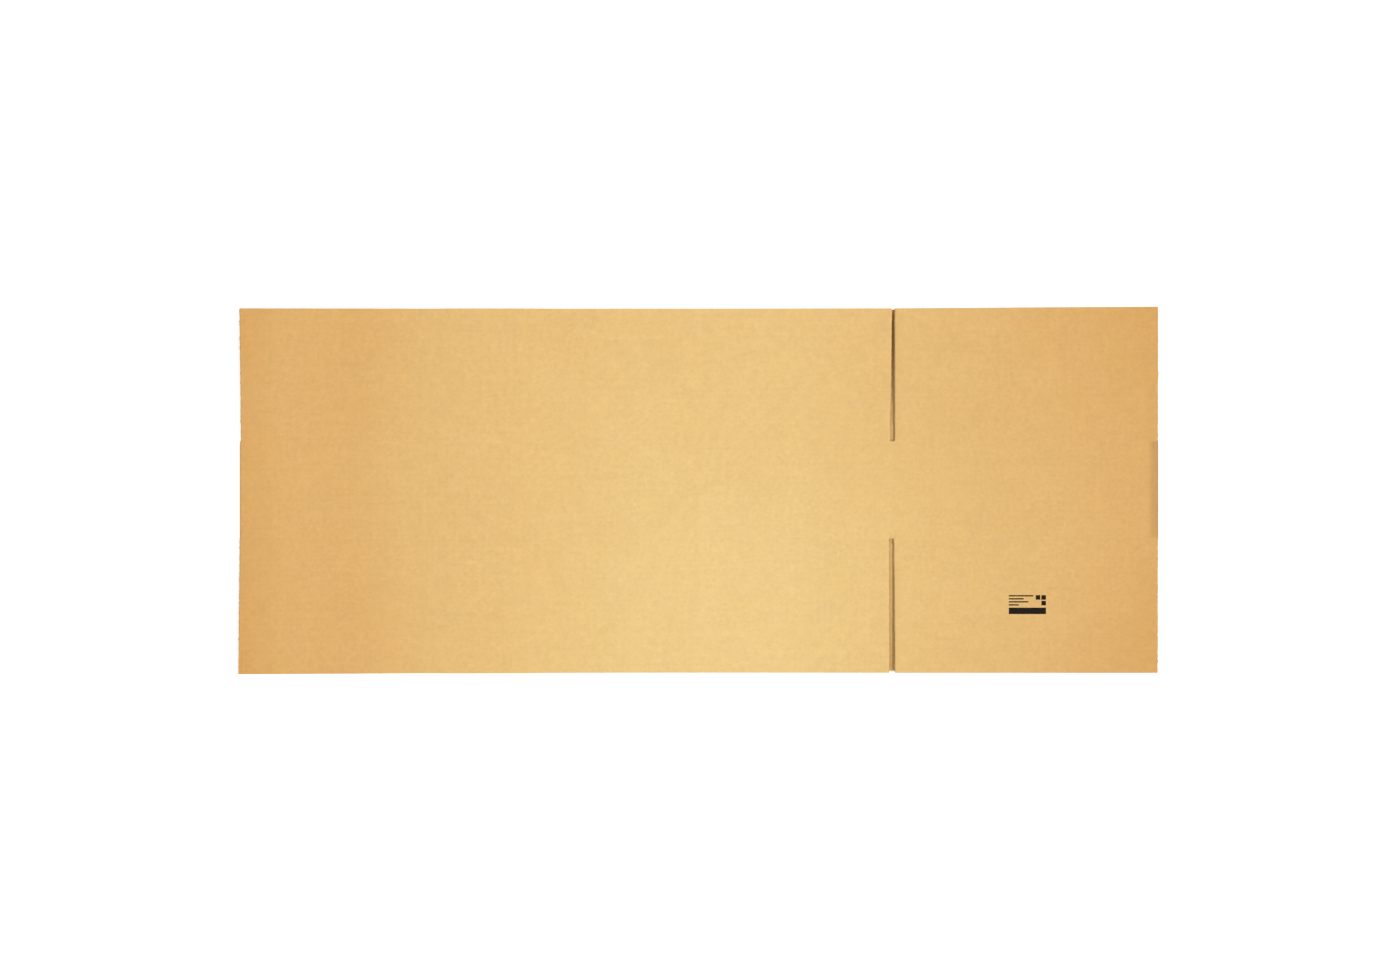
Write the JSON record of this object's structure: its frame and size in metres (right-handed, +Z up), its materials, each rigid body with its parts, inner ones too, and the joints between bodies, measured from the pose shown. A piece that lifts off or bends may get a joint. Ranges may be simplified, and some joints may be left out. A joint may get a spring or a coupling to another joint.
{
  "type": "flattened cardboard box",
  "caption": "Slotted corrugated box, folded flat and glued along one edge, with all its flaps lying in plane as it is delivered before use.",
  "frame": {"origin": "centre of the flattened box in plan, on the surface it lies on", "axes": "+X along the length of the flattened box, with the short front panel at the +X end; +Y across it, along the flutes; +Z up, out of the face with the open slots"},
  "size_m": [1.4112, 0.5634, 0.0182],
  "materials": {
    "kraft_board": "matte kraft paper"
  },
  "bodies": {
    "root": {"folded_board": "kraft_board"}
  },
  "joints": []
}
